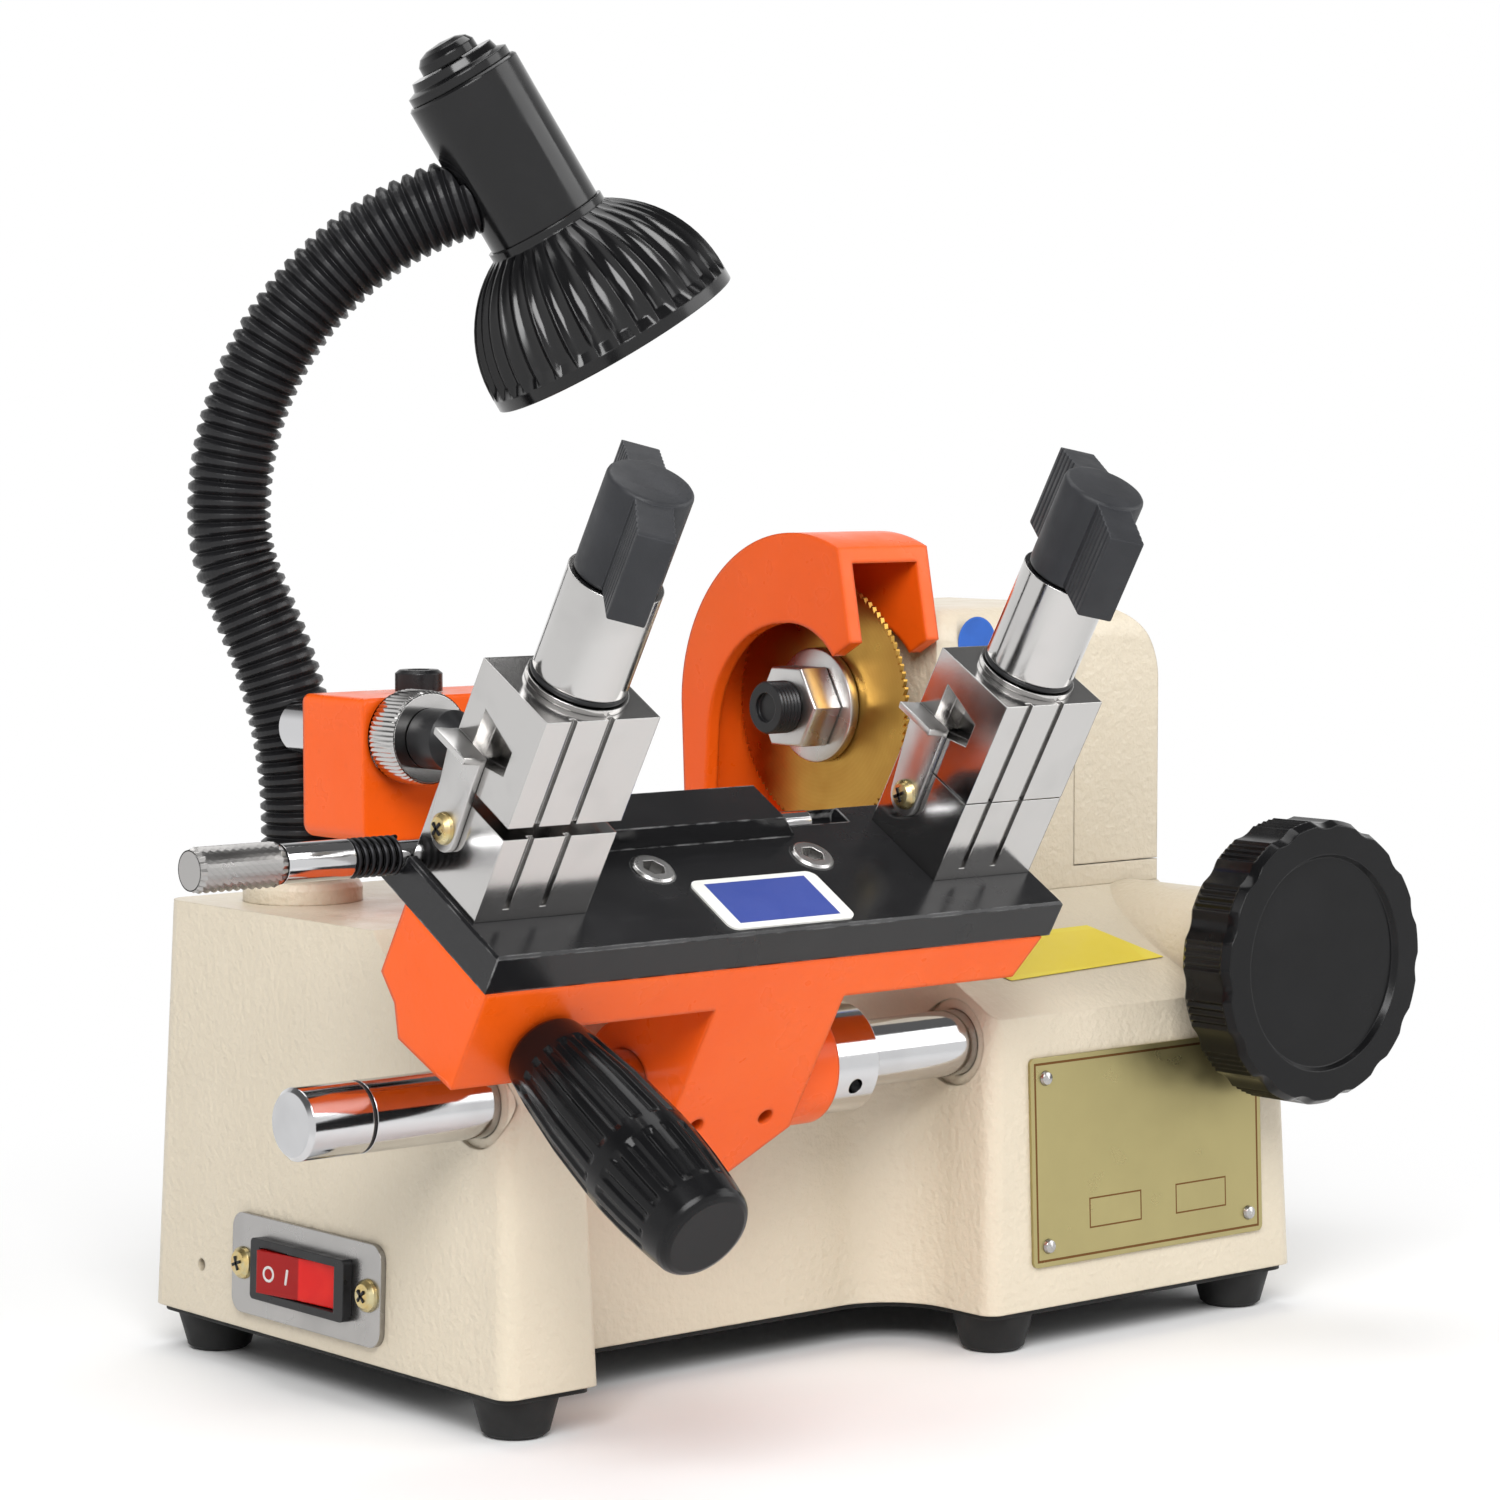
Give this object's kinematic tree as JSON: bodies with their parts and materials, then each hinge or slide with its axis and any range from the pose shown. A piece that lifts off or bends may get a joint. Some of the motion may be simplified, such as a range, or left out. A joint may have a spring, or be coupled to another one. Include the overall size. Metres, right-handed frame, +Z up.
{
  "type": "key duplicating machine",
  "caption": "Bench key duplicating machine with a sliding, tilting two-vice carriage, cutter under a hood, tracer, handwheel, rocker switch and gooseneck lamp.",
  "frame": {"origin": "centre of the overall box in plan, on the bench under the feet", "axes": "+X along the slide shaft towards the cutter's drive, +Y to the back, +Z up"},
  "size_m": [0.3462, 0.2226, 0.3166],
  "materials": {
    "cream_paint": "cream orange-peel paint",
    "orange_paint": "orange enamel",
    "black_paint": "satin black, worn edges",
    "plate_steel": "sheet steel",
    "rubber": "black rubber",
    "bush_bronze": "bronze",
    "gold_plate": "gold printed plate",
    "brass": "yellow passivated",
    "switch_chrome": "stainless plate",
    "switch_black": "black plastic",
    "switch_red": "clear red plastic",
    "shaft_chrome": "ground and chromed",
    "tool_steel": "bright steel",
    "cutter_gold": "gold coated steel",
    "motor_grey": "grey motor",
    "nickel": "bright nickel",
    "black_gloss": "gloss black",
    "black_satin": "satin black",
    "knob_grey": "dark grey moulded",
    "label": "printed label",
    "bulb_glass": "frosted bulb"
  },
  "bodies": {
    "base": {"base_casting": "cream_paint", "bottom_plate": "plate_steel", "feet": "rubber", "shaft_bushes": "bush_bronze", "nameplate": "gold_plate", "nameplate_rivets": "brass", "switch_plate": "switch_chrome", "switch_bezel": "switch_black", "switch_screws": "brass", "wheel_bush": "bush_bronze", "hood": "orange_paint", "spindle_head": "cream_paint", "spindle_bearings": "tool_steel", "belt_cover": "cream_paint", "drive_belt": "rubber", "motor": "motor_grey", "tracer_bracket": "orange_paint", "lamp_foot": "black_gloss", "gooseneck": "black_satin"},
    "rocker": {"switch_rocker": "switch_red"},
    "spindle": {"spindle": "tool_steel", "cutter": "cutter_gold", "cutter_washer": "tool_steel", "cutter_nut": "tool_steel", "spindle_pulley": "tool_steel"},
    "rotor": {"motor_rotor": "tool_steel"},
    "slider": {"slide_shaft": "shaft_chrome", "stop_collar": "shaft_chrome"},
    "carriage": {"carriage_casting": "orange_paint", "hub_screws": "tool_steel", "carriage_plate": "black_paint", "plate_screws": "tool_steel", "plate_label": "label", "handle_grip": "black_gloss", "handle_stud": "tool_steel", "left_lower_jaw": "nickel", "right_lower_jaw": "nickel", "clamp_studs": "tool_steel", "guide_straps": "nickel", "strap_screws": "brass", "gauge_spring": "tool_steel"},
    "wheel": {"handwheel": "black_gloss", "pinion_shaft": "tool_steel"},
    "left_jaw": {"left_upper_jaw": "nickel"},
    "right_jaw": {"right_upper_jaw": "nickel"},
    "left_grip": {"left_knob": "knob_grey", "left_knob_sleeve": "nickel"},
    "right_grip": {"right_knob": "knob_grey", "right_knob_sleeve": "nickel"},
    "gauge": {"gauge_rod": "shaft_chrome", "gauge_knob": "nickel"},
    "tracer": {"tracer_rod": "shaft_chrome", "stylus": "black_satin"},
    "ring": {"tracer_ring": "nickel"},
    "lock": {"tracer_lock": "black_satin"},
    "lamp_head": {"lamp_socket": "black_gloss", "lamp_cap": "black_gloss", "lamp_shade": "black_gloss", "lamp_bulb": "bulb_glass"},
    "lamp_knob": {"lamp_switch": "black_gloss"}
  },
  "joints": [
    {"name": "switch_rock", "type": "hinge", "parent": "base", "child": "rocker", "pos_m": [-0.09678, 0.04233, 0.02659], "axis": [0.0354, 0, 0.9994], "range_deg": [-14, 0]},
    {"name": "spindle_spin", "type": "hinge", "parent": "base", "child": "spindle", "pos_m": [0.10265, 0.03533, 0.154], "axis": [1, 0, 0], "continuous": true},
    {"name": "motor_spin", "type": "hinge", "parent": "base", "child": "rotor", "pos_m": [0.10265, 0.06133, 0.058], "axis": [1, 0, 0], "continuous": true},
    {"name": "carriage_slide", "type": "slide", "parent": "base", "child": "slider", "axis": [1, 0, 0], "range_m": [-0.013, 0.024]},
    {"name": "carriage_tilt", "type": "hinge", "parent": "slider", "child": "carriage", "pos_m": [-0.03735, -0.02067, 0.0753], "axis": [-1, 0, 0], "range_deg": [0, 30]},
    {"name": "handwheel_turn", "type": "hinge", "parent": "base", "child": "wheel", "pos_m": [0.13765, -0.02067, 0.09105], "axis": [0, 1, 0], "range_deg": [-158.15, 86.13]},
    {"name": "left_jaw_lift", "type": "slide", "parent": "carriage", "child": "left_jaw", "axis": [0, -0.5075, 0.8616], "range_m": [-0.0027, 0.0015]},
    {"name": "right_jaw_lift", "type": "slide", "parent": "carriage", "child": "right_jaw", "axis": [0, -0.5075, 0.8616], "range_m": [0, 0.004]},
    {"name": "left_knob_turn", "type": "hinge", "parent": "left_jaw", "child": "left_grip", "pos_m": [-0.10285, -0.07468, 0.18276], "axis": [0, -0.5075, 0.8616], "range_deg": [-660, 370]},
    {"name": "right_knob_turn", "type": "hinge", "parent": "right_jaw", "child": "right_grip", "pos_m": [0.02865, -0.07468, 0.18276], "axis": [0, -0.5075, 0.8616], "range_deg": [-10, 970]},
    {"name": "gauge_push", "type": "slide", "parent": "carriage", "child": "gauge", "axis": [1, 0, 0], "range_m": [0, 0.0045], "stiffness_N_per_m": 300, "springref_m": -0.003, "deforming": ["gauge_spring"]},
    {"name": "tracer_feed", "type": "slide", "parent": "base", "child": "tracer", "axis": [0, -1, 0], "range_m": [0, 0.002]},
    {"name": "tracer_ring_turn", "type": "hinge", "parent": "base", "child": "ring", "pos_m": [-0.07735, 0.02033, 0.1525], "axis": [0, -1, 0], "range_deg": [-5, 725]},
    {"name": "tracer_lock_turn", "type": "hinge", "parent": "base", "child": "lock", "pos_m": [-0.06385, 0.04358, 0.1615], "axis": [0, 0, 1], "range_deg": [-90, 90]},
    {"name": "lamp_bend", "type": "hinge", "parent": "base", "child": "lamp_head", "pos_m": [-0.07326, 0.08698, 0.24471], "axis": [0.6447, 0.7645, 0], "range_deg": [-12, 12], "deforming": ["gooseneck"]},
    {"name": "lamp_switch_turn", "type": "hinge", "parent": "lamp_head", "child": "lamp_knob", "pos_m": [-0.02909, 0.04973, 0.28262], "axis": [-0.4784, 0.1988, 0.8554], "range_deg": [0, 90]}
  ],
  "couplings": [
    {"joint": "motor_spin", "follows": "spindle_spin", "ratio": 1.3636},
    {"joint": "handwheel_turn", "follows": "carriage_slide", "rad_per_m": -114.29},
    {"joint": "left_knob_turn", "follows": "left_jaw_lift", "rad_per_m": 4188.8},
    {"joint": "right_knob_turn", "follows": "right_jaw_lift", "rad_per_m": 4188.8},
    {"joint": "tracer_ring_turn", "follows": "tracer_feed", "rad_per_m": 6283.2}
  ]
}
